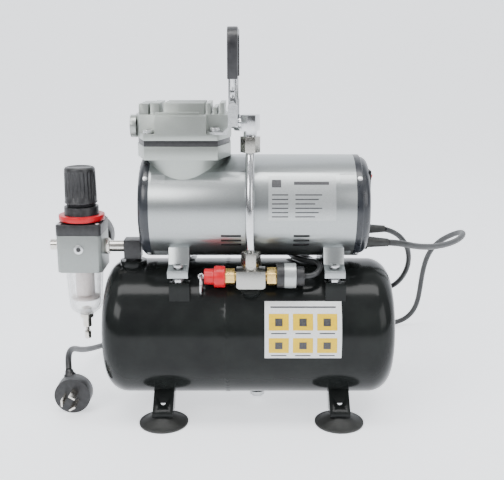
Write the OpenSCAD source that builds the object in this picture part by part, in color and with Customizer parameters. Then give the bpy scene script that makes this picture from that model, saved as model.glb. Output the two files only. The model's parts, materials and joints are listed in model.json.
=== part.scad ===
// Airbrush compressor: an electric piston pump standing on a small air tank, with a pressure
// switch, a relief valve, a filter regulator, a folding handle and a mains lead.
// Origin: middle of the feet's floor plane. +Z is up, +X runs along the tank away from the
// regulator, and -Y is the front.

/* [Tank] */
// Outside diameter of the air tank
tank_d = 125; // [120:1:128]
// Length of the air tank over its domes
tank_len = 269.5; // [268:0.5:270]
// Sheet thickness of the air tank
tank_wall = 1.5; // [1:0.5:3]
// Height of the tank's axis above the floor
tank_z = 79.5; // [79:0.5:80]

/* [Motor] */
// Outside diameter of the motor housing
motor_d = 92; // [90:1:92]
// Height of the motor's axis above the floor
motor_z = 194.2; // [194:0.1:195]
// Sheet thickness of the motor housing
housing_wall = 1.2; // [0.8:0.2:2]

/* [Pump] */
// Distance from the motor's axis to the crank pin's axis
crank_throw = 5; // [3:0.5:5]
// Bore of the cylinder liner
liner_bore_d = 45; // [44:0.5:46]
// Diameter of the piston
piston_d = 34; // [30:1:34]

/* [Regulator] */
// Width of the regulator's square body
reg_w = 40; // [38:1:40]
// Diameter of the pressure gauge
gauge_d = 42; // [38:1:42]
// Radius of the hose outlet's thread
hose_thread_r = 4.86; // [4.5:0.02:5]

/* [Handle] */
// Height of the handle's pivot above the floor
pivot_z = 285; // [283:1:287]
// Height of the top of the handle above the floor
handle_top_z = 351; // [345:1:355]

/* [Cords] */
// Diameter of the mains lead
mains_d = 6; // [5:0.5:7]
// Diameter of the pressure switch's lead
switch_lead_d = 5; // [4:0.5:5]

/* [Hidden] */

$fn = 64;
eps = 0.02;
run_gap = 0.05;

// Places along X
overall_half = 157.5;
tank_x = overall_half - tank_len / 2;
housing_x0 = -63;
housing_x1 = 116;
cover_left_x = -73;
cover_right_x = 129;
pump_x = -34;
saddle_x = [-38.5, 98];
leg_x = [-54.5, 105.5];
manifold_x = 25;
reg_x = -128;
elbow_x = -82.6;
pivot_x = 10;

// Places along Y and Z
tank_r = tank_d / 2;
motor_r = motor_d / 2;
reg_y = -8;
port_z = 159;
foot_y = 45;
foot_r = 22.3;
manifold_y = -45.5;
manifold_z0 = 130.5;
manifold_z1 = 146;
side_port_z = 139.2;
pivot_y = 50;
gasket_z0 = 252;
head_z0 = 257;
head_z1 = 277.5;
pocket_z = 262.3;
outlet_z = 271;
elbow_xy = [24.5, -30.5];

// Points of an arc about c
function arc(c, r, a0, a1, n) =
    [for (i = [0 : n]) c + r * [cos(a0 + (a1 - a0) * i / n), sin(a0 + (a1 - a0) * i / n)]];

// Cylinders along each axis, from a to b
module xcyl(r, a, b, y, z) {
    translate([a, y, z]) rotate([0, 90, 0]) cylinder(r = r, h = b - a);
}
module ycyl(r, a, b, x, z) {
    translate([x, a, z]) rotate([-90, 0, 0]) cylinder(r = r, h = b - a);
}
module zcyl(r, a, b, x, y) {
    translate([x, y, a]) cylinder(r = r, h = b - a);
}
module zhex(r, a, b, x, y) {
    translate([x, y, a]) cylinder(r = r, h = b - a, $fn = 6);
}
module xhex(r, a, b, y, z) {
    translate([a, y, z]) rotate([0, 90, 0]) cylinder(r = r, h = b - a, $fn = 6);
}
// Box from its lowest to its highest corner
module box(lo, hi) {
    translate(lo) cube(hi - lo);
}
// Profile in YZ, extruded along X from a to b
module yz_plate(points, a, b) {
    translate([a, 0, 0]) rotate([90, 0, 90]) linear_extrude(b - a) polygon(points);
}
// Front and rear copies
module both_sides() {
    children();
    mirror([0, 1, 0]) children();
}

// ---------- cords: a tube swept along a smooth curve through the route's points ----------
function at_end(p, i) = p[max(0, min(len(p) - 1, i))];
// The route's point i, or one past either end, in line with the last two
function beyond(p, i) =
    i < 0 ? 2 * p[0] - p[1] : i < len(p) ? p[i] : 2 * p[len(p) - 1] - p[len(p) - 2];
// Cubic B-spline: it starts and ends on the route and rounds its corners
function spline(p, i, t) =
    let (a = beyond(p, i - 1), b = beyond(p, i), c = beyond(p, i + 1), d = beyond(p, i + 2))
    (pow(1 - t, 3) * a + (3 * pow(t, 3) - 6 * t * t + 4) * b
        + (3 * t * t - 3 * pow(t, 3) + 3 * t + 1) * c + pow(t, 3) * d) / 6;
function smooth_path(p, n) =
    concat([for (i = [0 : len(p) - 2], k = [0 : n - 1]) spline(p, i, k / n)], [p[len(p) - 1]]);
function unit(v) = v / norm(v);
function tangent(p, i) = unit(at_end(p, i + 1) - at_end(p, i - 1));
// A side direction that never lines up with the tangent
function side_dir(t) = unit(cross(t, abs(t[2]) > 0.9 ? [1, 0, 0] : [0, 0, 1]));
function carried_side(s, t) = unit(s - (s * t) * t);
function sides(p, i, s) =
    i >= len(p) ? [] : let (n = carried_side(s, tangent(p, i))) concat([n], sides(p, i + 1, n));
module tube(p, r, n_sides) {
    s = sides(p, 0, side_dir(tangent(p, 0)));
    rings = [for (i = [0 : len(p) - 1], k = [0 : n_sides - 1])
        let (u = s[i], v = cross(tangent(p, i), s[i]), a = 360 * k / n_sides)
        p[i] + r * (cos(a) * u + sin(a) * v)];
    last = (len(p) - 1) * n_sides;
    walls = [for (i = [0 : len(p) - 2], k = [0 : n_sides - 1])
        let (a = i * n_sides, b = (i + 1) * n_sides, m = (k + 1) % n_sides)
        [a + k, b + k, b + m, a + m]];
    caps = [[for (k = [0 : n_sides - 1]) k], [for (k = [n_sides - 1 : -1 : 0]) last + k]];
    polyhedron(rings, concat(walls, caps), convexity = 8);
}

// Mains lead: from its gland down to the floor behind, then to the coil
mains_out_route = [[151, -6, 160.2], [163, -4, 159], [180, 12, 152], [198, 33, 146],
    [220, 58, 142], [240, 84, 141], [252, 108, 142], [254, 128, 140], [247, 148, 131],
    [238, 168, 118], [232, 184, 100], [230, 196, 77], [230, 205, 51], [229, 211, 29],
    [221, 215, 12], [206, 215, 4], [186, 211, 3], [160, 202, 3], [128, 191, 3], [90, 178, 3],
    [55, 170, 3], [30, 168, 3]];
// Mains lead: from the coil to the plug
mains_in_route = [[30, 168, 21], [8, 169, 19], [-14, 171, 13], [-38, 173, 5], [-62, 173, 3],
    [-90, 171, 3], [-113, 163, 3], [-131, 148, 5.5], [-141, 127, 9], [-146, 106, 14],
    [-149, 88, 19.5], [-151, 72, 25], [-152.2, 57, 31], [-152.8, 43, 37.5],
    [-152.6, 30, 42.5], [-152.2, 17.5, 45.7], [-151.3, 6.5, 45.4], [-149.9, -1, 41.5],
    [-148.2, -7.5, 35.9]];
coil_centre = [30, 134];
coil_r = 34;
coil_turns = 3;
// Pressure switch's lead: from the switch, between tank and motor, round to its own gland
switch_route = [[71.5, -45.5, 139.7], [77.5, -45.5, 139.7], [84, -43, 142], [87, -36, 146],
    [84, -26, 147.5], [76, -16, 145.5], [68, -6, 145.1], [63, 5, 145.1], [60, 18, 146],
    [63, 33, 143.5], [72, 47, 137],
    [88, 58, 126], [110, 66, 112], [134, 70, 100], [152, 67, 93], [166, 60, 96],
    [176, 51, 108], [181, 42, 126], [178, 33, 144], [169, 24, 158], [158, 15, 166],
    [150, 10, 169]];

// ---------- tank ----------
tank_half = tank_len / 2;
crown_r = 250;
knuckle_r = 20;
crown_end = 90 - asin((tank_r - knuckle_r) / (crown_r - knuckle_r));
dome_base = tank_half - crown_r + (crown_r - knuckle_r) * sin(crown_end);
seam_x = 4;
seam_w = 2.5;
seam_h = 0.5;
// Half outline of the dome, set in by w, from its middle to its rim
function dome(w) = concat([[0, tank_half - w]],
    [for (p = arc([0, tank_half - crown_r], crown_r - w, 88, crown_end, 4)) p],
    [for (p = arc([tank_r - knuckle_r, dome_base], knuckle_r - w, crown_end - 9, 0, 8)) p]);
function flip(p) = [for (i = [len(p) - 1 : -1 : 0]) [p[i][0], -p[i][1]]];
module tank_shell() {
    weld = seam_x - tank_x;
    seam = [[tank_r, weld + seam_w], [tank_r + seam_h, weld + 1], [tank_r + seam_h, weld - 1],
        [tank_r, weld - seam_w]];
    color([0.05, 0.05, 0.06]) translate([tank_x, 0, tank_z]) rotate([0, 90, 0]) difference() {
        rotate_extrude($fn = 96) polygon(concat(dome(0), seam, flip(dome(0))));
        rotate_extrude($fn = 96) polygon(concat(dome(tank_wall), flip(dome(tank_wall))));
    }
}
module tank_space(grow = 0) {
    xcyl(tank_r + grow, -120, 170, 0, tank_z);
}
module motor_space(grow = 0) {
    xcyl(motor_r + grow, -120, 170, 0, motor_z);
}
drain_x = 31;
module tank_bosses() {
    boss_lean = atan2(-manifold_y, manifold_z0 - tank_z);
    color([0.05, 0.05, 0.06]) {
        zcyl(12, 138, 144.8, elbow_x, reg_y);
        difference() {
            translate([manifold_x, 0, tank_z]) rotate([boss_lean, 0, 0])
                translate([0, 0, tank_r - 2]) cylinder(r = 9.6, h = 8.5);
            box([0, -60, manifold_z0], [50, -20, manifold_z1]);
        }
        difference() {
            zcyl(8, 13, 18, drain_x, 0);
            zcyl(4 + run_gap, 12, 17, drain_x, 0);
        }
    }
}
module drain_screw() {
    color("silver") {
        zhex(7, 8, 12.8, drain_x, 0);
        zcyl(4, 12.8, 16.8, drain_x, 0);
    }
}
leg_w = 18.4;
tab_z = 9.5;
module leg(x) {
    outer = [[-28, 40], [-38, 27], [-54.5, 13], [-54.5, tab_z], [-34, tab_z], [-24, 20]];
    inner = [[-15, 50], [-30, 36], [-36.8, 26], [-52.7, 12.4], [-52.7, tab_z + 1.8],
        [-15, tab_z + 1.8]];
    difference() {
        yz_plate(outer, x - leg_w / 2, x + leg_w / 2);
        yz_plate(inner, x - leg_w / 2 + 1.8, x + leg_w / 2 - 1.8);
        tank_space();
        zcyl(2.6, 0, 20, x, -foot_y);
    }
}
module foot_brackets() {
    color([0.05, 0.05, 0.06]) both_sides() {
        for (x = leg_x) leg(x);
    }
}
module suction_feet() {
    rim_z = 2.2;
    hub_r = 7.5;
    profile = concat([[2.5, tab_z], [2.5, 4], [14, 2.6], [20, 0], [foot_r - 0.6, 0],
        [foot_r, 0.8]], [for (t = [0 : 0.125 : 1]) [foot_r - (foot_r - hub_r) * t,
        rim_z + (tab_z - rim_z) * pow(t, 1.6)]]);
    color([0.08, 0.08, 0.08]) both_sides() {
        for (x = leg_x) translate([x, -foot_y, 0]) rotate_extrude() polygon(profile);
    }
}

// ---------- motor mounting ----------
perch_w = 18;
flange_y = -43;
module motor_perches() {
    outer = [[-49.5, 100], [-49.5, 133.5], [-31, 133.5], [-31, 100]];
    inner = [[-47.5, 99], [-47.5, 131.5], [-33, 131.5], [-33, 99]];
    color([0.05, 0.05, 0.06]) both_sides() {
        for (x = saddle_x) difference() {
            yz_plate(outer, x - perch_w / 2 + 1, x + perch_w / 2 + 1);
            yz_plate(inner, x - perch_w, x + perch_w);
            tank_space();
            zcyl(2.6, 120, 140, x, flange_y);
        }
    }
}
module motor_saddles() {
    flange = [[-31, 160.2], [-33.2, 162.4], [-37.4, 147.9], [-50.5, 144.9], [-50.5, 138.8],
        [-48.4, 138.8], [-48.4, 142.9], [-35.8, 145.9], [-31.9, 157.2]];
    color([0.75, 0.76, 0.78]) for (x = saddle_x) difference() {
        union() {
            intersection() {
                xcyl(motor_r + 2, x - perch_w / 2, x + perch_w / 2, 0, motor_z);
                box([x - perch_w, -33, 100], [x + perch_w, 33, 162]);
            }
            both_sides() yz_plate(flange, x - perch_w / 2, x + perch_w / 2);
        }
        motor_space();
        both_sides() zcyl(2.6, 135, 155, x, flange_y);
    }
}
module isolators() {
    color([0.1, 0.1, 0.1]) both_sides() {
        for (x = saddle_x) difference() {
            zcyl(5, 137.2, 142.9, x, flange_y);
            zcyl(2.5, 130, 150, x, flange_y);
        }
    }
}
module mount_screws() {
    color("silver") both_sides() {
        for (x = saddle_x) {
            zcyl(2.5, 128, 147, x, flange_y);
            zcyl(4.4, 147.2, 149.4, x, flange_y);
            zhex(5.2, 133.5, 137.2, x, flange_y);
        }
        for (x = leg_x) {
            zcyl(2.5, 4.5, 12, x, -foot_y);
            zcyl(4.4, tab_z + 1.8, tab_z + 4, x, -foot_y);
        }
    }
}

// ---------- motor ----------
slot_rows = [174.6, 170, 165.4];
slot_spans = [[-1, 16.5], [62, 76]];
housing_in = motor_r - housing_wall;
module motor_housing() {
    color([0.78, 0.79, 0.8]) difference() {
        xcyl(motor_r, housing_x0, housing_x1, 0, motor_z);
        xcyl(housing_in, housing_x0 - 1, housing_x1 + 1, 0, motor_z);
        zcyl(30, motor_z, motor_z + 60, pump_x, 0);
        for (z = slot_rows, s = slot_spans) box([s[0], -60, z - 1.1], [s[1], 60, z + 1.1]);
    }
}
module end_cover_left() {
    depth = housing_x0 - cover_left_x;
    outline = concat([[0, -depth]], arc([motor_r - 7, 7 - depth], 7, 270, 360, 6),
        [[motor_r, 0], [housing_in - eps, 0], [housing_in - eps, 4], [42, 4], [42, 2 - depth],
        [0, 2 - depth]]);
    color([0.09, 0.1, 0.12]) translate([housing_x0, 0, motor_z]) rotate([0, 90, 0])
        rotate_extrude($fn = 96) polygon(outline);
}
bearing_r = 11;
shaft_r = 5;
switch_y = -14;
switch_z = 217.5;
module end_cover_right() {
    outline = concat([[0, 13]], arc([37, 6], 7, 90, 0, 6),
        [[44, 6], [motor_r, 5.5], [motor_r, 0], [housing_in - eps, 0], [housing_in - eps, -4],
        [42, -4], [42, 11], [14, 11], [14, -6], [bearing_r, -6], [bearing_r, 1.5], [0, 1.5]]);
    color([0.09, 0.1, 0.12]) difference() {
        translate([housing_x1, 0, motor_z]) rotate([0, 90, 0])
            rotate_extrude($fn = 96) polygon(outline);
        box([120, switch_y - 6.5, switch_z - 9.5], [135, switch_y + 6.5, switch_z + 9.5]);
    }
}
cover_screw_angles = [40, -61, 140, 241];
module cover_screws() {
    color("silver") {
        for (a = cover_screw_angles, side = [-1, 1]) translate([0, 0, motor_z])
            rotate([-a, 0, 0]) translate([side < 0 ? -66 : 119, -motor_r + 1, 0])
            rotate([90, 0, 0]) cylinder(r = 2.2, h = 1.8);
        for (x = [-1, 1], y = [-1, 1])
            zcyl(2, 181, 182.4, reg_x + 16.8 * x, reg_y + 16.8 * y);
        ycyl(4.3, reg_y - reg_w / 2 - 1.2, reg_y - reg_w / 2, reg_x, port_z);
    }
}
module bearing_bulkhead() {
    color([0.6, 0.6, 0.62]) {
        difference() {
            xcyl(housing_in - eps, 0, 4, 0, motor_z);
            xcyl(bearing_r, -10, 10, 0, motor_z);
        }
        for (x = [0, 110]) difference() {
            xcyl(bearing_r, x, x + 7, 0, motor_z);
            xcyl(shaft_r + run_gap, x - 1, x + 8, 0, motor_z);
        }
    }
}
module stator_core() {
    color([0.35, 0.36, 0.38]) difference() {
        xcyl(housing_in - eps, 24, 74, 0, motor_z);
        xcyl(24.5, 20, 80, 0, motor_z);
    }
}
module stator_windings() {
    color([0.72, 0.4, 0.2]) for (x = [8, 74]) difference() {
        xcyl(40, x, x + 16, 0, motor_z);
        xcyl(27, x - 1, x + 17, 0, motor_z);
    }
}
module rotor_core() {
    color([0.4, 0.4, 0.42]) difference() {
        xcyl(24, 22, 76, 0, motor_z);
        xcyl(shaft_r, 20, 80, 0, motor_z);
    }
}
module motor_shaft() {
    color("silver") xcyl(shaft_r, -24, 117, 0, motor_z);
}
module cooling_fan() {
    color([0.15, 0.15, 0.15]) difference() {
        union() {
            xcyl(9, 93, 105, 0, motor_z);
            for (k = [0 : 6]) translate([93, 0, motor_z]) rotate([k * 360 / 7, 0, 0])
                rotate([0, 0, 25]) box([1, -1.2, 7], [10, 1.2, 34]);
        }
        xcyl(shaft_r, 80, 120, 0, motor_z);
    }
}
pin_z = motor_z + crank_throw;
module crank_disc() {
    color([0.5, 0.5, 0.52]) difference() {
        union() {
            xcyl(15, -26, -14, 0, motor_z);
            box([-26, -9, motor_z - 22], [-18, 9, motor_z - 5]);
            xcyl(4, -41, -26, 0, pin_z);
        }
        xcyl(shaft_r, -24, -10, 0, motor_z);
    }
}

// ---------- pump ----------
piston_z0 = 240;
piston_z1 = 249;
module connecting_rod() {
    color([0.7, 0.7, 0.72]) difference() {
        union() {
            xcyl(9, pump_x - 5, pump_x + 5, 0, pin_z);
            box([pump_x - 4, -5, pin_z + 5], [pump_x + 4, 5, piston_z0]);
        }
        xcyl(4 + run_gap, pump_x - 10, pump_x + 10, 0, pin_z);
    }
}
module piston() {
    color([0.6, 0.6, 0.62]) zcyl(piston_d / 2, piston_z0, piston_z1, pump_x, 0);
}
// Plan of the pump's flange and cover: an eight-sided outline with rounded corners
module head_plan(inset = 0) {
    w = 41.5 - inset;
    d = 43 - inset;
    polygon([[31, -d], [w, -9], [w, 9], [31, d], [-31, d], [-w, 9], [-w, -9], [-31, -d]]);
}
module pump_at(z0, z1) {
    translate([pump_x, 0, z0]) linear_extrude(z1 - z0) children();
}
module cylinder_foot() {
    color([0.63, 0.64, 0.61]) difference() {
        union() {
            pump_at(240.5, gasket_z0) head_plan(0.5);
            difference() {
                zcyl(36, 205, 241, pump_x, 0);
                motor_space(eps);
            }
            difference() {
                zcyl(29.9, 226, 241, pump_x, 0);
                xcyl(motor_r + eps, -120, housing_x0 + 4.1, 0, motor_z);
            }
        }
        zcyl(25, 220, 260, pump_x, 0);
        head_screw_places() cylinder(r = 2.6, h = 30);
    }
}
module head_screw_places() {
    for (x = [-28, 28], y = [-34, 34]) translate([pump_x + x, y, 238]) children();
}
module cylinder_liner() {
    color([0.7, 0.71, 0.73]) difference() {
        zcyl(25, 226, gasket_z0, pump_x, 0);
        zcyl(liner_bore_d / 2, 220, 260, pump_x, 0);
    }
}
module valve_plate() {
    color([0.1, 0.11, 0.12]) {
        difference() {
            pump_at(gasket_z0, head_z0) head_plan(1.2);
            head_screw_places() cylinder(r = 2.6, h = 30);
            for (x = [-9, 9]) zcyl(3, 250, 260, pump_x + x, 0);
        }
        box([pump_x - 13, -4, 251.6], [pump_x - 2, 4, gasket_z0]);
        box([pump_x + 2, -4, head_z0], [pump_x + 13, 4, head_z0 + 0.4]);
    }
}
// Cooling fins: [left edge, right edge, front, back, top], from the pump's axis
head_fins = [[-37, -29, -24, 26, 286.5], [-27, -19.5, -24, 26, 287], [20.5, 24.5, -24, 26, 287],
    [26.5, 30, -24, 26, 283.5], [32, 36.5, -22, 24, 287], [-22, 15, -36, -28, 280],
    [-16, 19, -22, -15, 287], [-16, 19, -8, -1, 287], [-16, 19, 6, 13, 287], [-16, 19, 20, 27, 287]];
module cylinder_head() {
    color([0.64, 0.65, 0.62]) difference() {
        union() {
            pump_at(head_z0, head_z1) head_plan();
            for (f = head_fins)
                box([pump_x + f[0], f[2], head_z1 - 1], [pump_x + f[1], f[3], f[4]]);
            translate([pump_x + 34, -24, outlet_z]) rotate([0, 90, -17]) cylinder(r = 6.3, h = 6);
        }
        both_sides() {
            box([pump_x + 21.5, -50, pocket_z], [pump_x + 50, -27, 300]);
            box([pump_x - 50, -50, pocket_z], [pump_x - 21.5, -27, 300]);
        }
        box([pump_x - 19, -20, head_z0 - 1], [pump_x - 1.5, 20, 272]);
        box([pump_x + 1.5, -20, head_z0 - 1], [pump_x + 19, 20, 272]);
        head_screw_places() cylinder(r = 2.6, h = 60);
        xcyl(6, -80, -60, -4, 266);
    }
}
bracket_t = 2;
module head_screws() {
    color("silver") both_sides() {
        for (x = [-28, 28]) {
            seat = x > 0 ? pocket_z + bracket_t : pocket_z;
            zcyl(2.5, 242, seat, pump_x + x, -34);
            zcyl(4.6, seat, seat + 3.2, pump_x + x, -34);
        }
    }
}
module intake_cap() {
    color([0.66, 0.67, 0.64]) difference() {
        union() {
            xcyl(10, -81, pump_x - 41.5, -4, 266);
            xcyl(5.9, pump_x - 42, -66, -4, 266);
        }
        for (a = [0 : 60 : 300])
            xcyl(1.3, -85, -77, -4 + 6 * cos(a), 266 + 6 * sin(a));
    }
}

// ---------- air pipe ----------
pipe_r = 4;
pipe_top_z = 246;
pipe_low_z = 161.5;
pipe_route = [[24.5, -30.5, pipe_top_z], [24.4, -33.2, 237.5], [24.2, -40.5, 227], [24, -47, 214],
    [24, -50.8, 200], [24, -51.4, 188], [24.3, -49.3, 175], [24.8, -46.6, 167],
    [manifold_x, manifold_y, pipe_low_z]];
module pipe_fittings() {
    color([0.8, 0.81, 0.83]) {
        translate([elbow_xy[0], elbow_xy[1], outlet_z]) rotate([0, 0, -17]) {
            box([-6.5, -6.5, -6.7], [6.5, 6.5, 7]);
            rotate([0, -90, 0]) cylinder(r = 5, h = 17);
            translate([-9, 0, 0]) rotate([0, -90, 0]) cylinder(r = 7, h = 5, $fn = 6);
        }
        zcyl(5.8, 259.5, 265, elbow_xy[0], elbow_xy[1]);
        zhex(8.6, pipe_top_z, 259.5, elbow_xy[0], elbow_xy[1]);
        zhex(8.6, 149.5, pipe_low_z, manifold_x, manifold_y);
        zcyl(7.4, manifold_z1, 149.5, manifold_x, manifold_y);
    }
}
module air_pipe() {
    color([0.85, 0.86, 0.88]) tube(smooth_path(pipe_route, 3), pipe_r, 16);
}

// ---------- manifold ----------
module manifold_block() {
    color([0.55, 0.56, 0.55]) intersection() {
        box([manifold_x - 12.5, manifold_y - 9.5, manifold_z0], [manifold_x + 12.5,
            manifold_y + 9.5, manifold_z1]);
        translate([manifold_x, manifold_y, manifold_z0 - 6])
            cylinder(r1 = 8, r2 = 30, h = 22);
    }
}
module manifold_brass() {
    color([0.75, 0.58, 0.22]) {
        xcyl(4.5, 11, manifold_x - 12.5, manifold_y, side_port_z);
        xhex(7.6, 2.6, 11, manifold_y, side_port_z);
        xcyl(4.5, manifold_x + 12.5, 39, manifold_y, side_port_z);
        xhex(8.6, 39, 47.5, manifold_y, side_port_z);
    }
}
relief_x = [-15.7, -7.1, 2.6];
module relief_body() {
    color([0.8, 0.12, 0.15]) difference() {
        union() {
            xcyl(9.4, relief_x[1], relief_x[2], manifold_y, side_port_z);
            xcyl(6.9, relief_x[0], relief_x[1], manifold_y, side_port_z);
        }
        xcyl(1.5 + run_gap, -20, -4, manifold_y, side_port_z);
    }
}
eye_x = -18.4;
eye_r = 2.5;
eye_hole_r = 1.6;
ring_lean = 30;
module relief_stem() {
    color("silver") difference() {
        union() {
            xcyl(1.5, eye_x, -8.5, manifold_y, side_port_z);
            translate([eye_x, manifold_y, side_port_z]) rotate([90 - ring_lean, 0, 0])
                cylinder(r = eye_r, h = 3, center = true);
        }
        translate([eye_x, manifold_y, side_port_z]) rotate([90 - ring_lean, 0, 0])
            cylinder(r = eye_hole_r, h = 9, center = true);
    }
}
ring_r = 8;
wire_r = 0.9;
module pull_ring() {
    color("silver") translate([eye_x, manifold_y - ring_r * sin(ring_lean),
        side_port_z - ring_r * cos(ring_lean)]) rotate([0, 90, 0])
        rotate_extrude() translate([ring_r, 0]) circle(r = wire_r, $fn = 24);
}
module pressure_switch() {
    color([0.08, 0.08, 0.09]) {
        xcyl(10.8, 47.5, 64.5, manifold_y, side_port_z + 1);
        xcyl(8.6, 64.5, 71.5, manifold_y, side_port_z + 0.5);
    }
}

// ---------- filter regulator ----------
reg_half = reg_w / 2;
body_z0 = 137.3;
body_z1 = 171.2;
bonnet_z = 181;
collar_z = 195;
nut_x = -103.5;
module tank_elbow() {
    color([0.08, 0.08, 0.09]) {
        box([elbow_x - 7.5, reg_y - 7.5, 147], [elbow_x + 7.5, reg_y + 7.5, 164.4]);
        zcyl(7, 144.8, 147, elbow_x, reg_y);
    }
}
module inlet_nipple() {
    color([0.72, 0.7, 0.66]) {
        xcyl(5.1, nut_x, elbow_x - 7.5, reg_y, port_z - 1.5);
        xhex(7.6, reg_x + reg_half, nut_x, reg_y, port_z - 1.5);
    }
}
module square_plan(half, cut) {
    c = half - cut;
    translate([reg_x, reg_y]) polygon([[c, -half], [half, -c], [half, c], [c, half], [-c, half],
        [-half, c], [-half, -c], [-c, -half]]);
}
module regulator_body() {
    color([0.54, 0.56, 0.55]) difference() {
        translate([0, 0, body_z0]) linear_extrude(body_z1 - body_z0) square_plan(reg_half, 3);
        zcyl(14, body_z0 - 1, body_z0 + 8, reg_x, reg_y);
        zcyl(5, body_z0, body_z0 + 22, reg_x, reg_y);
    }
}
module bonnet_plate() {
    color([0.07, 0.07, 0.08]) difference() {
        union() {
            translate([0, 0, body_z1]) linear_extrude(bonnet_z - body_z1)
                square_plan(reg_half, 2);
            zcyl(15.4, bonnet_z, collar_z, reg_x, reg_y);
        }
        zcyl(4 + run_gap, body_z1 + 2, 200, reg_x, reg_y);
    }
}
module panel_ring() {
    color([0.8, 0.13, 0.17]) difference() {
        zcyl(20.6, bonnet_z + 1.5, 187.6, reg_x, reg_y);
        zcyl(15.4, 170, 190, reg_x, reg_y);
    }
}
knob_z0 = 195.4;
module regulator_spindle() {
    color("silver") zcyl(4, body_z1 + 2.1, 214, reg_x, reg_y);
}
module regulator_knob() {
    color([0.05, 0.05, 0.055]) difference() {
        union() {
            zcyl(13, knob_z0, 198, reg_x, reg_y);
            zcyl(14.6, 198, 199.6, reg_x, reg_y);
            translate([reg_x, reg_y, 199.6]) rotate_extrude() polygon(concat([[0, 0], [14.2, 0]],
                arc([12, 29.2], 1.6, 20, 90, 4), [[0, 30.8]]));
        }
        zcyl(4 + run_gap, knob_z0 - 1, 222, reg_x, reg_y);
    }
}
gauge_r = gauge_d / 2;
gauge_y = [12, 17, 34, 38];
module gauge_case() {
    color([0.06, 0.06, 0.07]) difference() {
        union() {
            ycyl(5, gauge_y[0], gauge_y[1], reg_x, port_z);
            ycyl(gauge_r, gauge_y[1], gauge_y[3], reg_x, port_z);
        }
        ycyl(gauge_r - 1.8, gauge_y[2], 50, reg_x, port_z);
    }
    color("silver") ycyl(0.9, gauge_y[2], 36.2, reg_x, port_z);
}
module gauge_needle() {
    color([0.1, 0.1, 0.1]) translate([reg_x, 35, port_z]) rotate([0, 45, 0]) difference() {
        union() {
            rotate([-90, 0, 0]) cylinder(r = 2.2, h = 0.9);
            box([-0.6, 0, -15], [0.6, 0.9, 5]);
        }
        ycyl(0.9 + run_gap, -1, 3, 0, 0);
    }
}
module hose_outlet() {
    color([0.78, 0.75, 0.68]) difference() {
        union() {
            xcyl(hose_thread_r, -overall_half, -151, reg_y, port_z);
            xhex(6.8, -151, reg_x - reg_half, reg_y, port_z);
        }
        xcyl(2.5, -160, reg_x - reg_half - 1, reg_y, port_z);
    }
}
module filter_bowl() {
    color([0.85, 0.88, 0.9, 0.4]) translate([reg_x, reg_y, 96.3]) difference() {
        rotate_extrude() polygon(concat([[0, -2.2]], [[8.4, -2.2]],
            arc([4.9, 8], 10.3, -70, 0, 6), [[17.3, 41]], [[0, 41]]));
        rotate_extrude() polygon(concat([[0, 0.2]], [[8, 0.2]],
            arc([4.9, 8], 8.4, -70, 0, 6), [[15.3, 42]], [[0, 42]]));
        cylinder(r = 4.5, h = 20, center = true);
    }
}
module filter_element() {
    color([0.93, 0.92, 0.9]) {
        zcyl(8.5, 112, 138, reg_x, reg_y);
        zcyl(12.6, 108, 110, reg_x, reg_y);
        zcyl(4, 110, 112, reg_x, reg_y);
        zcyl(13.4, 138, 145, reg_x, reg_y);
    }
}
module drain_body() {
    color([0.74, 0.74, 0.72]) difference() {
        union() {
            zcyl(6.2, 89.6, 94.1, reg_x, reg_y);
            zcyl(4.5, 94.1, 99, reg_x, reg_y);
            zcyl(4, 80.5, 89.6, reg_x, reg_y);
        }
        zcyl(1.8 + run_gap, 70, 110, reg_x, reg_y);
    }
}
module drain_stem() {
    color([0.74, 0.74, 0.72]) {
        zcyl(1.8, 76, 97, reg_x, reg_y);
        zcyl(3, 68.7, 76, reg_x, reg_y);
    }
}

// ---------- folding handle ----------
arm_w = 8;
arm_y0 = -48.2;
arm_y1 = -46.2;
module handle_brackets() {
    foot = [[-12, -39.5], [-12, -28.5], [-1, -28.5], [5, -36], [5, -46.2], [-5, -46.2]];
    color([0.78, 0.79, 0.8]) both_sides() {
        difference() {
            union() {
                translate([0, 0, pocket_z]) linear_extrude(bracket_t) polygon(foot);
                translate([2, 0, pocket_z]) rotate([0, -42, 0])
                    box([0, arm_y0, 0], [11, -38, bracket_t]);
                box([pivot_x - arm_w / 2, arm_y0, 269.4], [pivot_x + arm_w / 2, arm_y1, pivot_z]);
                ycyl(arm_w / 2, arm_y0, arm_y1, pivot_x, pivot_z);
                ycyl(2.4, -52.2, arm_y1, pivot_x, pivot_z);
                ycyl(4.2, -53.2, -51.4, pivot_x, pivot_z);
            }
            zcyl(2.5, 250, 280, pump_x + 28, -34);
        }
    }
}
bail_y0 = -51.2;
bail_y1 = -48.5;
bail_w = 6.6;
bail_corner = 14;
grip_z = 308;
module bail_outline(grow, z0) {
    top = handle_top_z - 2.2;
    half = -bail_y0 + grow;
    inner = -bail_y1 - grow;
    polygon(concat([[-half, z0]], arc([-half + bail_corner, top + grow - bail_corner],
        bail_corner, 180, 90, 6), arc([half - bail_corner, top + grow - bail_corner],
        bail_corner, 90, 0, 6), [[half, z0], [inner, z0]],
        arc([half - bail_corner, top + grow - bail_corner], bail_corner - half + inner, 0, 90, 6),
        arc([-half + bail_corner, top + grow - bail_corner], bail_corner - half + inner, 90, 180,
        6), [[-inner, z0]]));
}
module bail_bar(grow, w, z0) {
    translate([pivot_x - w / 2, 0, 0]) rotate([90, 0, 90]) linear_extrude(w)
        bail_outline(grow, z0);
}
module handle_bail() {
    color([0.82, 0.83, 0.85]) difference() {
        union() {
            bail_bar(0, bail_w, pivot_z);
            both_sides() ycyl(4.2, bail_y0, bail_y1, pivot_x, pivot_z);
        }
        ycyl(2.4 + run_gap, -60, 60, pivot_x, pivot_z);
        for (z = [294.3, 300.4]) ycyl(1.6, -60, 60, pivot_x, z);
    }
}
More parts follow.
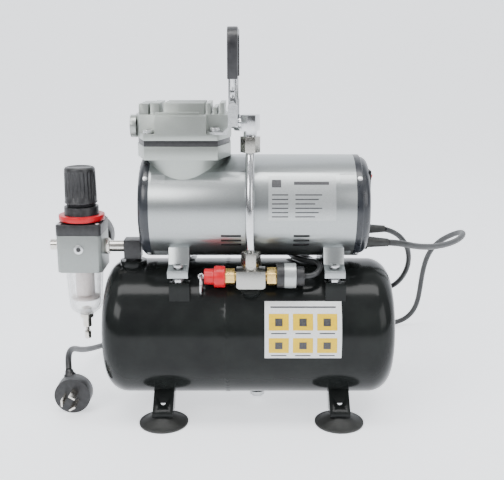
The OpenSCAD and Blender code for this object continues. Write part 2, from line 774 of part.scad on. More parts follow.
module handle_grip() {
    color([0.06, 0.06, 0.07]) difference() {
        bail_bar(1.2, 8.6, grip_z);
        bail_bar(0, bail_w, grip_z - 5);
    }
}

// ---------- switch, leads and plug ----------
module switch_bezel() {
    color([0.07, 0.07, 0.08]) difference() {
        union() {
            box([cover_right_x, switch_y - 8, switch_z - 11], [cover_right_x + 1.6, switch_y + 8,
                switch_z + 11]);
            box([116.5, switch_y - 6.4, switch_z - 9.4], [cover_right_x, switch_y + 6.4,
                switch_z + 9.4]);
        }
        box([119, switch_y - 5.2, switch_z - 8.4], [140, switch_y + 5.2, switch_z + 8.4]);
    }
}
rocker_axis_x = 126.5;
module rocker() {
    face = [[-7, 4.4], [-7, -1], [0, -4], [7, 1.5], [7, 5.6], [0, 3.8]];
    color([0.8, 0.1, 0.12]) {
        translate([rocker_axis_x, switch_y + 5, switch_z]) rotate([90, 0, 0])
            linear_extrude(10) polygon([for (p = face) [p[1], p[0]]]);
        ycyl(1.6, switch_y - 5.15, switch_y + 5.15, rocker_axis_x, switch_z);
    }
}
gland_out = [cover_right_x, -6, 161];
switch_gland = [cover_right_x, 10, 169.5];
module gland(at, r0, r1, len, lean) {
    translate(at) rotate(lean) {
        cylinder(r = r0 + 1.6, h = 2.4);
        translate([0, 0, 2.4]) cylinder(r1 = r0, r2 = r1, h = len - 2.4);
    }
}
module cord_glands() {
    color([0.06, 0.06, 0.07]) {
        gland(gland_out, 5.2, 3.6, 22, [0, 92, 0]);
        gland(switch_gland, 4.6, 3.1, 21, [0, 90, 0]);
    }
}
module mains_cord() {
    color([0.06, 0.06, 0.07]) {
        tube(smooth_path(mains_out_route, 2), mains_d / 2, 8);
        tube(smooth_path(mains_in_route, 2), mains_d / 2, 8);
    }
}
module mains_coil() {
    color([0.06, 0.06, 0.07]) translate(coil_centre) difference() {
        cylinder(r = coil_r + mains_d / 2, h = (coil_turns + 1) * mains_d);
        translate([0, 0, -1])
            cylinder(r = coil_r - mains_d / 2, h = (coil_turns + 2) * mains_d);
    }
}
plug_at = [-142, -11, 16.9];
plug_depth = 14;
relief_lean = [-30, -18, 0];
module mains_plug() {
    color([0.07, 0.07, 0.08]) translate(plug_at) {
        rotate([90, 0, 0]) cylinder(r = 16.8, h = plug_depth);
        translate([0, -8, 0]) rotate(relief_lean) {
            translate([0, 0, 11]) cylinder(r1 = 7, r2 = 5.6, h = 8);
            translate([0, 0, 19]) cylinder(r1 = 4.6, r2 = 3.6, h = 4);
        }
    }
    color("silver") translate(plug_at) for (a = [60, 180, 300]) rotate([0, a, 0])
        box([5.4, -plug_depth - 16, -3.2], [7, -plug_depth, 3.2]);
}
module switch_lead() {
    color([0.06, 0.06, 0.07]) tube(smooth_path(switch_route, 2), switch_lead_d / 2, 8);
}

tank_shell();
tank_bosses();
drain_screw();
foot_brackets();
suction_feet();
motor_perches();
motor_saddles();
isolators();
mount_screws();
motor_housing();
end_cover_left();
end_cover_right();
cover_screws();
bearing_bulkhead();
stator_core();
stator_windings();
rotor_core();
motor_shaft();
cooling_fan();
crank_disc();
connecting_rod();
piston();
cylinder_foot();
cylinder_liner();
valve_plate();
cylinder_head();
head_screws();
intake_cap();
pipe_fittings();
air_pipe();
manifold_block();
manifold_brass();
relief_body();
relief_stem();
pull_ring();
pressure_switch();
tank_elbow();
inlet_nipple();
regulator_body();
bonnet_plate();
panel_ring();
regulator_spindle();
regulator_knob();
gauge_case();
gauge_needle();
hose_outlet();
filter_bowl();
filter_element();
drain_body();
drain_stem();
handle_brackets();
handle_bail();
handle_grip();
switch_bezel();
rocker();
cord_glands();
mains_cord();
mains_coil();
mains_plug();
switch_lead();
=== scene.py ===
import json
from math import atan2, cos, pi, radians, sin, sqrt

import bmesh
import bpy
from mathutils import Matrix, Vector

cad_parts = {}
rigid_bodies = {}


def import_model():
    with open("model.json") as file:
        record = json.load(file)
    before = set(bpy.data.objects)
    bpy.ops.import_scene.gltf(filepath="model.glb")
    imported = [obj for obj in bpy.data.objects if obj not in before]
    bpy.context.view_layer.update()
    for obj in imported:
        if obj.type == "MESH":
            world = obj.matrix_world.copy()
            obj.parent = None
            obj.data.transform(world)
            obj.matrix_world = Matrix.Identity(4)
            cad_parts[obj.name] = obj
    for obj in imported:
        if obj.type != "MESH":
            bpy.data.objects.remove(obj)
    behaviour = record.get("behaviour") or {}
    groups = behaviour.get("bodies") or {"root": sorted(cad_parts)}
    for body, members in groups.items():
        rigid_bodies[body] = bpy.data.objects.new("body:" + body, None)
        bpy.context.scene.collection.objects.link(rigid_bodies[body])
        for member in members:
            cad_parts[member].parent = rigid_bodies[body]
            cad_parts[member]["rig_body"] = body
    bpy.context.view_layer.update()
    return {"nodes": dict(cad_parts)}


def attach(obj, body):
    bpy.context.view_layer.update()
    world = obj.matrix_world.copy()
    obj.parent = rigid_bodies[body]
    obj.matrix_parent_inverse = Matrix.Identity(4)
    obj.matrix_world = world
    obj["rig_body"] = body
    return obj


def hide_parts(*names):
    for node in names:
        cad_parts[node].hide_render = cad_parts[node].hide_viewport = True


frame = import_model()
nodes = frame["nodes"]
MM = 0.001

# ---------- camera ----------
cam_data = bpy.data.cameras.new("camera")
cam_data.lens = 55
cam_data.sensor_width = 36
camera = bpy.data.objects.new("camera", cam_data)
bpy.context.scene.collection.objects.link(camera)
camera.location = (0.026, -0.691, 0.327)
camera.rotation_euler = (radians(90 - 13.5), 0, 0)
bpy.context.scene.camera = camera


# ---------- materials ----------
def finish(
    name,
    low,
    high,
    metallic=0.0,
    rough=(0.4, 0.5),
    scale=300,
    stretch=(1, 1, 1),
    bump=0.05,
    bump_scale=900,
    coat=0.0,
    transmission=0.0,
    alpha=1.0,
    level=0.5,
):
    """Two tones mixed by a noise, with the roughness and a fine bump from noises too."""
    m = bpy.data.materials.new(name)
    m.use_nodes = True
    t = m.node_tree
    shader = t.nodes["Principled BSDF"]
    shader.inputs["Metallic"].default_value = metallic
    shader.inputs["Coat Weight"].default_value = coat
    shader.inputs["Coat Roughness"].default_value = 0.06
    shader.inputs["Transmission Weight"].default_value = transmission
    shader.inputs["Alpha"].default_value = alpha
    shader.inputs["Specular IOR Level"].default_value = level
    coord = t.nodes.new("ShaderNodeTexCoord")
    place = t.nodes.new("ShaderNodeMapping")
    place.inputs["Scale"].default_value = stretch
    t.links.new(coord.outputs["Object"], place.inputs["Vector"])
    noise = t.nodes.new("ShaderNodeTexNoise")
    noise.inputs["Scale"].default_value = scale
    noise.inputs["Detail"].default_value = 5
    t.links.new(place.outputs["Vector"], noise.inputs["Vector"])
    ramp = t.nodes.new("ShaderNodeValToRGB")
    ramp.color_ramp.elements[0].position = 0.3
    ramp.color_ramp.elements[1].position = 0.7
    ramp.color_ramp.elements[0].color = (*low, 1)
    ramp.color_ramp.elements[1].color = (*high, 1)
    t.links.new(noise.outputs["Fac"], ramp.inputs["Fac"])
    t.links.new(ramp.outputs["Color"], shader.inputs["Base Color"])
    gloss = t.nodes.new("ShaderNodeMapRange")
    gloss.inputs["From Min"].default_value = 0.3
    gloss.inputs["From Max"].default_value = 0.7
    gloss.inputs["To Min"].default_value = rough[0]
    gloss.inputs["To Max"].default_value = rough[1]
    t.links.new(noise.outputs["Fac"], gloss.inputs["Value"])
    t.links.new(gloss.outputs["Result"], shader.inputs["Roughness"])
    fine = t.nodes.new("ShaderNodeTexNoise")
    fine.inputs["Scale"].default_value = bump_scale
    fine.inputs["Detail"].default_value = 3
    t.links.new(place.outputs["Vector"], fine.inputs["Vector"])
    relief = t.nodes.new("ShaderNodeBump")
    relief.inputs["Strength"].default_value = bump
    relief.inputs["Distance"].default_value = 0.0004
    t.links.new(fine.outputs["Fac"], relief.inputs["Height"])
    t.links.new(relief.outputs["Normal"], shader.inputs["Normal"])
    return m


M = {
    "tank_enamel": finish("tank_enamel", (0.008, 0.009, 0.009), (0.014, 0.016, 0.015),
                          rough=(0.12, 0.2), scale=40, bump=0.05, bump_scale=220, level=0.17),
    "zinc_steel": finish("zinc_steel", (0.55, 0.56, 0.56), (0.72, 0.73, 0.74), 1.0,
                         (0.24, 0.4), 400, (1, 1, 3)),
    "black_rubber": finish("black_rubber", (0.018, 0.019, 0.018), (0.035, 0.036, 0.034),
                           rough=(0.5, 0.66), scale=200, bump=0.15),
    "silver_paint": finish("silver_paint", (0.34, 0.36, 0.36), (0.42, 0.44, 0.44), 0.95,
                           (0.29, 0.33), 3000, (0.25, 1, 1), bump=0.012, bump_scale=2500,
                           coat=0.1),
    "black_paint": finish("black_paint", (0.012, 0.014, 0.018), (0.022, 0.025, 0.031),
                          rough=(0.25, 0.36), scale=120, bump=0.08, bump_scale=700, coat=0.2),
    "cast_aluminium": finish("cast_aluminium", (0.35, 0.375, 0.35), (0.41, 0.435, 0.41), 0.8,
                             (0.3, 0.42), 2200, bump=0.22, bump_scale=1900, coat=0.1),
    "core_steel": finish("core_steel", (0.16, 0.16, 0.17), (0.3, 0.3, 0.31), 1.0,
                         (0.4, 0.6), 300, (40, 1, 1)),
    "copper_winding": finish("copper_winding", (0.5, 0.2, 0.07), (0.75, 0.36, 0.15), 0.9,
                             (0.3, 0.45), 300, (12, 1, 1), bump=0.4),
    "black_plastic": finish("black_plastic", (0.012, 0.012, 0.013), (0.026, 0.026, 0.028),
                            rough=(0.34, 0.48), scale=300, bump=0.12, bump_scale=1600),
    "chrome_plate": finish("chrome_plate", (0.56, 0.57, 0.58), (0.7, 0.71, 0.72), 1.0,
                           (0.12, 0.2), 120, bump=0.02),
    "manifold_metal": finish("manifold_metal", (0.38, 0.38, 0.36), (0.48, 0.48, 0.45), 1.0,
                             (0.24, 0.34), 1400, (1, 3, 1)),
    "brass_fitting": finish("brass_fitting", (0.62, 0.4, 0.12), (0.83, 0.6, 0.24), 1.0,
                            (0.18, 0.32), 250),
    "red_plastic": finish("red_plastic", (0.5, 0.004, 0.012), (0.6, 0.008, 0.018),
                          rough=(0.26, 0.36), scale=150, bump=0.05, level=0.35),
    "nickel_plate": finish("nickel_plate", (0.58, 0.55, 0.5), (0.76, 0.73, 0.68), 1.0,
                           (0.16, 0.28), 200),
    "regulator_paint": finish("regulator_paint", (0.27, 0.29, 0.28), (0.32, 0.34, 0.33), 0.5,
                              (0.34, 0.46), 1800, bump=0.2, bump_scale=1500),
    "needle_black": finish("needle_black", (0.01, 0.01, 0.01), (0.03, 0.03, 0.03),
                           rough=(0.4, 0.5)),
    "clear_plastic": finish("clear_plastic", (0.86, 0.88, 0.89), (0.94, 0.95, 0.96),
                            rough=(0.05, 0.1), scale=60, bump=0.02, transmission=0.5,
                            alpha=0.2),
    "white_plastic": finish("white_plastic", (0.72, 0.62, 0.59), (0.86, 0.79, 0.76),
                            rough=(0.45, 0.6), scale=500, bump=0.4, bump_scale=2200),
    "grip_vinyl": finish("grip_vinyl", (0.012, 0.012, 0.014), (0.03, 0.03, 0.033),
                         rough=(0.3, 0.42), scale=200, bump=0.15, bump_scale=900),
    "cord_rubber": finish("cord_rubber", (0.016, 0.017, 0.018), (0.036, 0.037, 0.038),
                          rough=(0.36, 0.5), scale=260, bump=0.12, bump_scale=1200),
}
# The clear bowl is faint face on and shows its edge where it turns away
clear = M["clear_plastic"].node_tree
turn = clear.nodes.new("ShaderNodeLayerWeight")
turn.inputs["Blend"].default_value = 0.35
edge = clear.nodes.new("ShaderNodeMapRange")
edge.inputs["To Min"].default_value = 0.1
edge.inputs["To Max"].default_value = 0.8
clear.links.new(turn.outputs["Facing"], edge.inputs["Value"])
clear.links.new(edge.outputs["Result"], clear.nodes["Principled BSDF"].inputs["Alpha"])
satin_nickel = finish("satin_nickel", (0.36, 0.35, 0.32), (0.46, 0.45, 0.42), 1.0,
                      (0.22, 0.32), 500)
# Silver for the nameplate and the switch band, and also for the lighter patches of painted
# highlight on the housing's pressed notches
silver_label_and_painted_highlight = finish("silver_label_and_painted_highlight", (0.42, 0.44, 0.44), (0.5, 0.52, 0.52), 0.6,
                      (0.3, 0.4), 900)
label_white = finish("label_white", (0.7, 0.71, 0.7), (0.79, 0.8, 0.79), rough=(0.3, 0.42),
                     scale=700)
label_yellow = finish("label_yellow", (0.74, 0.47, 0.004), (0.82, 0.55, 0.01), rough=(0.3, 0.42),
                      scale=700)
label_ink = finish("label_ink", (0.03, 0.03, 0.032), (0.07, 0.07, 0.075), rough=(0.4, 0.5),
                   scale=700)
dial_white = finish("dial_white", (0.8, 0.8, 0.78), (0.87, 0.87, 0.85), rough=(0.4, 0.5),
                    scale=600)


# The frame's own materials are named after their slots
node_slot = {}
for n, o in nodes.items():
    names = [s.material.name for s in o.material_slots if s.material]
    node_slot[n] = next((k for k in M if any(k in x for x in names)), "black_plastic")


def new_piece(name, mesh, body, material=None):
    o = bpy.data.objects.new(name, mesh)
    bpy.context.scene.collection.objects.link(o)
    if material:
        mesh.materials.append(material)
    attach(o, body)
    return o


# ---------- cords ----------
def spline(points, n=6):
    """The cubic B-spline that starts and ends on the route, in metres."""
    p = [Vector(q) * MM for q in points]

    def at(i):
        if i < 0:
            return 2 * p[0] - p[1]
        return p[i] if i < len(p) else 2 * p[-1] - p[-2]

    out = []
    for i in range(len(p) - 1):
        a, b, c, d = at(i - 1), at(i), at(i + 1), at(i + 2)
        for k in range(n):
            t = k / n
            out.append(((1 - t) ** 3 * a + (3 * t**3 - 6 * t * t + 4) * b
                        + (3 * t * t - 3 * t**3 + 3 * t + 1) * c + t**3 * d) / 6)
    return out + [p[-1]]


def cord_curve(name, points, diameter, nodes_replaced):
    c = bpy.data.curves.new(name, "CURVE")
    c.dimensions = "3D"
    c.bevel_depth = diameter / 2
    c.bevel_resolution = 5
    c.use_fill_caps = True
    s = c.splines.new("POLY")
    s.points.add(len(points) - 1)
    for q, v in zip(s.points, points):
        q.co = (*v, 1)
    s.use_smooth = True
    o = bpy.data.objects.new(name, c)
    bpy.context.scene.collection.objects.link(o)
    c.materials.append(M["cord_rubber"])
    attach(o, "frame")
    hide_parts(*nodes_replaced)
    return o


mains_out = [[151, -6, 160.2], [163, -4, 159], [180, 12, 152], [198, 33, 146],
             [220, 58, 142], [240, 84, 141], [252, 108, 142], [254, 128, 140], [247, 148, 131],
             [238, 168, 118], [232, 184, 100], [230, 196, 77], [230, 205, 51], [229, 211, 29],
             [221, 215, 12], [206, 215, 4], [186, 211, 3], [160, 202, 3], [128, 191, 3],
             [90, 178, 3], [55, 170, 3], [30, 168, 3]]
mains_in = [[30, 168, 21], [8, 169, 19], [-14, 171, 13], [-38, 173, 5], [-62, 173, 3],
    [-90, 171, 3], [-113, 163, 3], [-131, 148, 5.5], [-141, 127, 9], [-146, 106, 14],
    [-149, 88, 19.5], [-151, 72, 25], [-152.2, 57, 31], [-152.8, 43, 37.5],
    [-152.6, 30, 42.5], [-152.2, 17.5, 45.7], [-151.3, 6.5, 45.4], [-149.9, -1, 41.5],
    [-148.2, -7.5, 35.9]]
switch_points = [[71.5, -45.5, 139.7], [77.5, -45.5, 139.7], [84, -43, 142], [87, -36, 146],
                 [84, -26, 147.5], [76, -16, 145.5], [68, -6, 145.1], [63, 5, 145.1],
                 [60, 18, 146], [63, 33, 143.5], [72, 47, 137], [88, 58, 126], [110, 66, 112],
                 [134, 70, 100], [152, 67, 93], [166, 60, 96], [176, 51, 108], [181, 42, 126],
                 [178, 33, 144], [169, 24, 158], [158, 15, 166], [150, 10, 169]]
COIL_TURNS, COIL_STEPS, COIL_R = 3, 40, 34
coil = []
for k in range(1, COIL_TURNS * COIL_STEPS):
    a = radians(90 + 360 * k / COIL_STEPS)
    z = 3 + 18 * k / (COIL_TURNS * COIL_STEPS)
    coil.append(Vector((30 + COIL_R * cos(a), 134 + COIL_R * sin(a), z)) * MM)
mains_path = spline(mains_out) + coil + spline(mains_in)
mains = cord_curve("mains_lead", mains_path, 0.006, ["mains_cord", "mains_coil"])
LEAD_D = 0.005
lead = cord_curve("switch_lead_cord", spline(switch_points), LEAD_D, ["switch_lead"])


# ---------- softened copies: rounded edges and smooth shading on the CAD shapes ----------
def shade(bm, limit=0.7):
    for f in bm.faces:
        f.smooth = True
    for e in bm.edges:
        if len(e.link_faces) == 2:
            e.smooth = e.calc_face_angle(0) < limit


def soften(node, width, segments=2, paint=None, second=None):
    src = nodes[node]
    bm = bmesh.new()
    bm.from_mesh(src.data)
    bmesh.ops.remove_doubles(bm, verts=bm.verts, dist=1e-6)
    bmesh.ops.dissolve_limit(bm, angle_limit=radians(0.5), verts=bm.verts, edges=bm.edges)
    if width:
        edges = [e for e in bm.edges
                 if len(e.link_faces) == 2 and e.calc_face_angle(0) > radians(32)]
        bmesh.ops.bevel(bm, geom=edges, offset=width * MM, segments=segments, profile=0.5,
                        affect="EDGES", clamp_overlap=True)
    shade(bm)
    for f in bm.faces:
        f.material_index = 1 if second and second[0](f.calc_center_median()) else 0
    mesh = bpy.data.meshes.new(node + "_piece")
    bm.to_mesh(mesh)
    bm.free()
    slot = node_slot.get(node) or "black_plastic"
    mesh.materials.append(paint or M[slot])
    if second:
        mesh.materials.append(second[1])
    o = bpy.data.objects.new(node + "_piece", mesh)
    bpy.context.scene.collection.objects.link(o)
    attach(o, src["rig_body"])
    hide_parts(node)
    return o


for n, o in nodes.items():
    for s in o.material_slots:
        s.material = M[node_slot.get(n) or "black_plastic"]

soft = {
    "tank_bosses": 0.5, "drain_screw": 0.4, "foot_brackets": 0.22,
    "suction_feet": 0.3, "motor_perches": 0.3, "motor_saddles": 0.25, "isolators": 0.7,
    "mount_screws": 0.5, "motor_housing": 0.3, "end_cover_left": 0, "end_cover_right": 0.4,
    "cover_screws": 0.5, "cylinder_foot": 0.7, "valve_plate": 0.4, "cylinder_head": 0.8,
    "head_screws": 0.6, "intake_cap": 0.7, "air_pipe": 0,
    "manifold_block": 0.7, "manifold_brass": 0.5, "relief_body": 0.9, "relief_stem": 0.2,
    "pull_ring": 0, "pressure_switch": 0.9, "tank_elbow": 0.8, "inlet_nipple": 0.5,
    "regulator_body": 0.9, "bonnet_plate": 0.8, "panel_ring": 0.7, "gauge_case": 0.8,
    "hose_outlet": 0.4, "filter_bowl": 0, "filter_element": 0.4, "drain_body": 0.4,
    "drain_stem": 0.5, "handle_brackets": 0.25, "handle_bail": 0.5, "handle_grip": 1.2,
    "switch_bezel": 0.5, "rocker": 0.5, "cord_glands": 0.6,
}
for n, w in soft.items():
    soften(n, w)
soften("pipe_fittings", 0.6, 3, second=(
    lambda c: c.z < 0.162 or 0.2459 < c.z < 0.2596, satin_nickel))
plug = soften("mains_plug", 1.1, 3, second=(lambda c: c.y < -0.0253, M["nickel_plate"]))


# ---------- knob with its grip flutes ----------
def lathe(name, profile, centre, body, material, around=96, flute=None):
    """A turned piece about a vertical axis; flute(z, angle) is taken off the radius, in mm."""
    bm = bmesh.new()
    rings = []
    for r, z in profile:
        ring = []
        for k in range(around):
            a = 2 * pi * k / around
            q = max(r - (flute(z, a) if flute else 0), 0.01)
            ring.append(bm.verts.new(Vector((centre[0] + q * cos(a),
                                             centre[1] + q * sin(a), z)) * MM))
        rings.append(ring)
    for a, b in zip(rings, rings[1:]):
        for k in range(around):
            m = (k + 1) % around
            bm.faces.new((a[k], a[m], b[m], b[k]))
    bm.faces.new(list(reversed(rings[0])))
    bm.faces.new(rings[-1])
    shade(bm, 0.9)
    mesh = bpy.data.meshes.new(name)
    bm.to_mesh(mesh)
    bm.free()
    return new_piece(name, mesh, body, material)


def knob_flute(z, a):
    if not 204 < z < 226:
        return 0
    return 0.75 * (0.5 + 0.5 * cos(24 * a)) ** 2


knob_profile = [(12.6, 195.4), (13, 195.8), (13, 198), (14.4, 198.1), (14.6, 198.6),
                (14.6, 199.3), (14.2, 199.8), (14.2, 204), (14.2, 204.4), (14.0, 215),
                (13.8, 225.6), (13.8, 226.2), (13.6, 228.4), (13.0, 229.7), (12, 230.3),
                (9.6, 230.4), (9.2, 230.0), (0.4, 230.0)]
knob = lathe("knob_piece", knob_profile, (-128, -8), "knob", M["black_plastic"], 288,
             knob_flute)
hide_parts("regulator_knob")


# ---------- labels, pressed notches drawn with painted highlight and painted shade, and painted shade in the vents, laid on the round walls ---
def wrapped(name, faces, radius, axis_z, body, material, lift=0.12):
    """faces are outlines in (x, z) mm, laid on the front of a round wall."""
    bm = bmesh.new()
    r = radius + lift
    for x0, x1, z0, z1 in faces:
        across, up = 2, max(2, int((z1 - z0) / 1.5))
        grid = []
        for i in range(up + 1):
            z = z0 + (z1 - z0) * i / up
            y = -sqrt(max(r * r - (z - axis_z) ** 2, 0))
            grid.append([bm.verts.new(Vector((x0 + (x1 - x0) * j / across, y, z)) * MM)
                         for j in range(across + 1)])
        for a, b in zip(grid, grid[1:]):
            for j in range(across):
                bm.faces.new((a[j], a[j + 1], b[j + 1], b[j]))
    for f in bm.faces:
        f.smooth = True
    mesh = bpy.data.meshes.new(name)
    bm.to_mesh(mesh)
    bm.free()
    return new_piece(name, mesh, body, material)


TANK = (62.5, 79.5)
MOTOR = (46.0, 194.2)
wrapped("tank_label", [(37, 104, 70, 118)], *TANK, "frame", label_white, 0.12)
squares, marks, rules = [], [], []
for i in range(3):
    for j in range(2):
        x, z = 40.5 + 21 * i, 75 + 20 * j
        squares.append((x, x + 17.5, z, z + 13.5))
        marks.append((x + 5.5, x + 12, z + 3.6, z + 9.8))
        rules.append((x + 2, x + 15.5, z - 3.0, z - 2.0))
rules.append((42, 99, 113, 114.2))
wrapped("tank_label_panels", squares, *TANK, "frame", label_yellow, 0.2)
wrapped("tank_label_marks", marks, *TANK, "frame", label_ink, 0.28)
wrapped("tank_label_rules", rules, *TANK, "frame", label_ink, 0.2)
wrapped("nameplate", [(40, 98, 189, 226)], *MOTOR, "frame", silver_label_and_painted_highlight, 0.12)
rows = []
for k in range(6):
    z = 192 + 3.7 * k
    rows.append((43, 57, z, z + 1.0))
    rows.append((63, 80 + 3 * (k % 3), z, z + 1.0))
rows.append((43, 51, 217, 223))
rows.append((62, 92, 219, 221.5))
wrapped("nameplate_rules", rows, *MOTOR, "frame", label_ink, 0.2)
# The housing's pressed notches are drawn as flat, lighter silver patches: painted highlight on
# the pressed flats
notch_highlight_patches = []
for z in (223.5, 154.8):
    for x0, x1 in ((-63, -56), (109, 116)):
        notch_highlight_patches.append((x0 + (2 if x0 < 0 else -7), x1 + (7 if x0 < 0 else -2), z - 3.5, z + 3.5))
wrapped("housing_notch_painted_highlights", notch_highlight_patches, *MOTOR, "frame", silver_label_and_painted_highlight, 0.1)
# A thin dark line along the top of each notch: painted shade at the pressed step
edges = [(a - 0.1, b + 0.1, z1, z1 + 0.5) for a, b, z0, z1 in notch_highlight_patches]
wrapped("notch_painted_shade_lines", edges, *MOTOR, "frame", M["core_steel"], 0.14)
# Dark strips set just inside the vent slots: painted shade standing for the dark inside of the
# housing
vent_shade_strips = []
for z in (174.6, 170, 165.4):
    for x0, x1 in ((-1, 16.5), (62, 76)):
        vent_shade_strips.append((x0, x1, z - 1.1, z + 1.1))
wrapped("vent_painted_shade", vent_shade_strips, *MOTOR, "frame", M["needle_black"], -0.9)


# ---------- pressure switch band ----------
def x_lathe(name, profile, centre, body, material, around=72, ripple=None):
    bm = bmesh.new()
    rings = []
    for r, x in profile:
        ring = []
        for k in range(around):
            a = 2 * pi * k / around
            q = r - (ripple(x, a) if ripple else 0)
            ring.append(bm.verts.new(Vector((x, centre[0] + q * cos(a),
                                             centre[1] + q * sin(a))) * MM))
        rings.append(ring)
    for a, b in zip(rings, rings[1:]):
        for k in range(around):
            m = (k + 1) % around
            bm.faces.new((a[k], a[m], b[m], b[k]))
    bmesh.ops.recalc_face_normals(bm, faces=bm.faces)
    shade(bm, 0.9)
    mesh = bpy.data.meshes.new(name)
    bm.to_mesh(mesh)
    bm.free()
    return new_piece(name, mesh, body, material)


# ---------- tank: domed ends, straight wall and a rippled weld bead ----------
CROWN_R, KNUCKLE_R, TANK_R, TANK_HALF, TANK_X = 250, 20, 62.5, 134.75, 22.75
crown_end = sqrt((CROWN_R - KNUCKLE_R) ** 2 - (TANK_R - KNUCKLE_R) ** 2)
knuckle_x = TANK_HALF - CROWN_R + crown_end
turn_at = atan2(TANK_R - KNUCKLE_R, crown_end)
end = [(CROWN_R * sin(turn_at * k / 14), TANK_HALF - CROWN_R + CROWN_R * cos(turn_at * k / 14))
       for k in range(1, 15)]
for k in range(1, 15):
    a = turn_at + (pi / 2 - turn_at) * k / 14
    end.append((TANK_R - KNUCKLE_R + KNUCKLE_R * sin(a), knuckle_x + KNUCKLE_R * cos(a)))
left_end = [(r, TANK_X - x) for r, x in end]
right_end = [(r, TANK_X + x) for r, x in reversed(end)]
wall_x0, wall_x1 = left_end[-1][1], right_end[0][1]
wall = [(TANK_R, wall_x0 + 1)] + [(TANK_R, x) for x in range(int(wall_x0) + 8, 0, 12)]
bead = [(TANK_R, 1.4), (TANK_R + 0.2, 1.9), (TANK_R + 0.42, 2.8), (TANK_R + 0.5, 4),
        (TANK_R + 0.42, 5.2), (TANK_R + 0.2, 6.1), (TANK_R, 6.6)]
wall_b = [(TANK_R, x) for x in range(16, int(wall_x1) - 4, 12)] + [(TANK_R, wall_x1 - 1)]


def weld_ripple(x, a):
    return 0.14 * (0.5 + 0.5 * sin(64 * a + (x - 4) ** 2 * 0.5)) if 1.8 < x < 6.2 else 0


tank = x_lathe("tank_piece", [(0.05, TANK_X - TANK_HALF)] + left_end + wall + bead + wall_b
               + right_end + [(0.05, TANK_X + TANK_HALF)], (0, 79.5), "frame",
               M["tank_enamel"], 256, weld_ripple)
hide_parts("tank_shell")

x_lathe("switch_band", [(10.7, 54), (11.0, 54.2), (11.05, 59), (11.0, 64), (10.7, 64.2)],
        (-45.5, 140.2), "frame", silver_label_and_painted_highlight)


# ---------- drive recesses in the screw heads, drawn flat in dark as painted shade ---
def painted_recess_shade(name, centres, r, normal, sides=0):
    """A flat dark cross, or a regular hole of that many sides, laid on each screw head: painted
    shade standing for the hollow of its drive recess.
    """
    bm = bmesh.new()
    n = Vector(normal)
    u = n.orthogonal().normalized()
    v = n.cross(u)
    for c in centres:
        if sides:
            shapes = [[(r * cos(2 * pi * k / sides), r * sin(2 * pi * k / sides))
                       for k in range(sides)]]
        else:
            w = r * 0.22
            shapes = [[(-r, -w), (r, -w), (r, w), (-r, w)], [(-w, -r), (w, -r), (w, r), (-w, r)]]
        for i, shape in enumerate(shapes):
            lift = n * (0.04 + 0.02 * i)
            bm.faces.new([bm.verts.new((Vector(c) + u * a + v * b + lift) * MM)
                          for a, b in shape])
    mesh = bpy.data.meshes.new(name)
    bm.to_mesh(mesh)
    bm.free()
    return new_piece(name, mesh, "frame", M["needle_black"])


painted_recess_shade("saddle_screw_drive_shade", [(x, y, 149.4) for x in (-38.5, 98) for y in (-43, 43)], 2.6,
       (0, 0, 1))
painted_recess_shade("head_screw_drive_shade", [(-34 + x, y, 265.5 if x < 0 else 267.5) for x in (-28, 28)
                             for y in (-34, 34)], 2.6, (0, 0, 1), 6)
painted_recess_shade("bonnet_screw_drive_shade", [(-128 + x, -8 + y, 182.4) for x in (-16.8, 16.8)
                               for y in (-16.8, 16.8)], 1.3, (0, 0, 1))
painted_recess_shade("port_plug_drive_shade", [(-128, -29.2, 159)], 2.3, (0, -1, 0), 6)


# ---------- gauge face, on the rear ----------
def dial(name, parts, y, material):
    bm = bmesh.new()
    for pts in parts:
        bm.faces.new([bm.verts.new(Vector((x, y, z)) * MM) for x, z in pts])
    bmesh.ops.recalc_face_normals(bm, faces=bm.faces)
    mesh = bpy.data.meshes.new(name)
    bm.to_mesh(mesh)
    bm.free()
    return new_piece(name, mesh, "frame", material)


GX, GZ = -128, 159
face = [(GX + 18.9 * cos(2 * pi * k / 64), GZ + 18.9 * sin(2 * pi * k / 64)) for k in range(64)]
dial("gauge_face", [face], 34.15, dial_white)
ticks = []
for k in range(31):
    a = radians(225 - 9 * k)
    r0, w = (12.5, 0.4) if k % 5 == 0 else (14.6, 0.2)
    c, s = cos(a), sin(a)
    ticks.append([(GX - r0 * c - w * s, GZ + r0 * s - w * c),
                  (GX - 17 * c - w * s, GZ + 17 * s - w * c),
                  (GX - 17 * c + w * s, GZ + 17 * s + w * c),
                  (GX - r0 * c + w * s, GZ + r0 * s + w * c)])
dial("gauge_ticks", ticks, 34.3, label_ink)

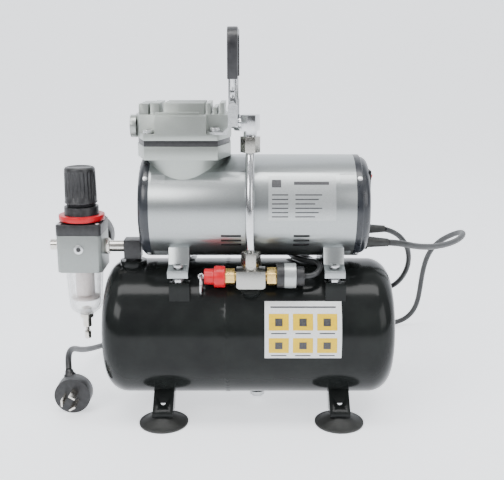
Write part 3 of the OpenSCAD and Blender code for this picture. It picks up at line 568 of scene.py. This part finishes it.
# ---------- floor, backdrop and lights ----------
floor_mat = finish("backdrop", (0.72, 0.735, 0.765), (0.735, 0.75, 0.78), rough=(0.8, 0.9),
                   scale=3, bump=0.0)
glow = floor_mat.node_tree.nodes["Principled BSDF"]
glow.inputs["Emission Color"].default_value = (0.95, 0.97, 1, 1)
glow.inputs["Emission Strength"].default_value = 1.15
bm = bmesh.new()
sweep = [(-9.0, 0.0), (1.2, 0.0)]
sweep += [(1.2 + 0.9 * sin(radians(a)), 0.9 - 0.9 * cos(radians(a))) for a in range(6, 91, 6)]
sweep += [(2.1, 4.0)]
left = [bm.verts.new((-9, y, z)) for y, z in sweep]
right = [bm.verts.new((9, y, z)) for y, z in sweep]
for k in range(len(sweep) - 1):
    bm.faces.new((left[k], right[k], right[k + 1], left[k + 1]))
for f in bm.faces:
    f.smooth = True
mesh = bpy.data.meshes.new("backdrop")
bm.to_mesh(mesh)
bm.free()
mesh.materials.append(floor_mat)
backdrop = bpy.data.objects.new("backdrop", mesh)
bpy.context.scene.collection.objects.link(backdrop)


def area(name, place, target, size, power):
    d = bpy.data.lights.new(name, "AREA")
    d.shape = "RECTANGLE"
    d.size, d.size_y = size
    d.energy = power
    o = bpy.data.objects.new(name, d)
    bpy.context.scene.collection.objects.link(o)
    o.location = place
    o.rotation_euler = (Vector(target) - Vector(place)).to_track_quat("-Z", "Y").to_euler()


area("top", (0.0, -0.25, 1.35), (0, 0, 0.1), (1.6, 0.4), 17)
area("key", (-0.9, -1.1, 1.1), (0, 0, 0.15), (0.9, 0.6), 13)
area("fill", (1.2, -0.9, 0.7), (0, 0, 0.15), (0.8, 0.8), 6)
world = bpy.data.worlds.new("studio")
bpy.context.scene.world = world
world.use_nodes = True
wt = world.node_tree
sky = wt.nodes["Background"]
sky.inputs["Strength"].default_value = 0.8
where = wt.nodes.new("ShaderNodeTexCoord")
split = wt.nodes.new("ShaderNodeSeparateXYZ")
wt.links.new(where.outputs["Generated"], split.inputs["Vector"])
height = wt.nodes.new("ShaderNodeMapRange")
height.inputs["From Min"].default_value = -1
height.inputs["From Max"].default_value = 1
wt.links.new(split.outputs["Z"], height.inputs["Value"])
shades = wt.nodes.new("ShaderNodeValToRGB")
shades.color_ramp.elements[0].position = 0.44
shades.color_ramp.elements[0].color = (0.3, 0.31, 0.33, 1)
shades.color_ramp.elements[1].position = 0.9
shades.color_ramp.elements[1].color = (0.95, 0.97, 1, 1)
for place, tone in ((0.5, 0.17), (0.58, 0.22), (0.66, 0.6)):
    shades.color_ramp.elements.new(place).color = (tone, tone * 1.01, tone * 1.04, 1)
wt.links.new(height.outputs["Result"], shades.inputs["Fac"])
wt.links.new(shades.outputs["Color"], sky.inputs["Color"])
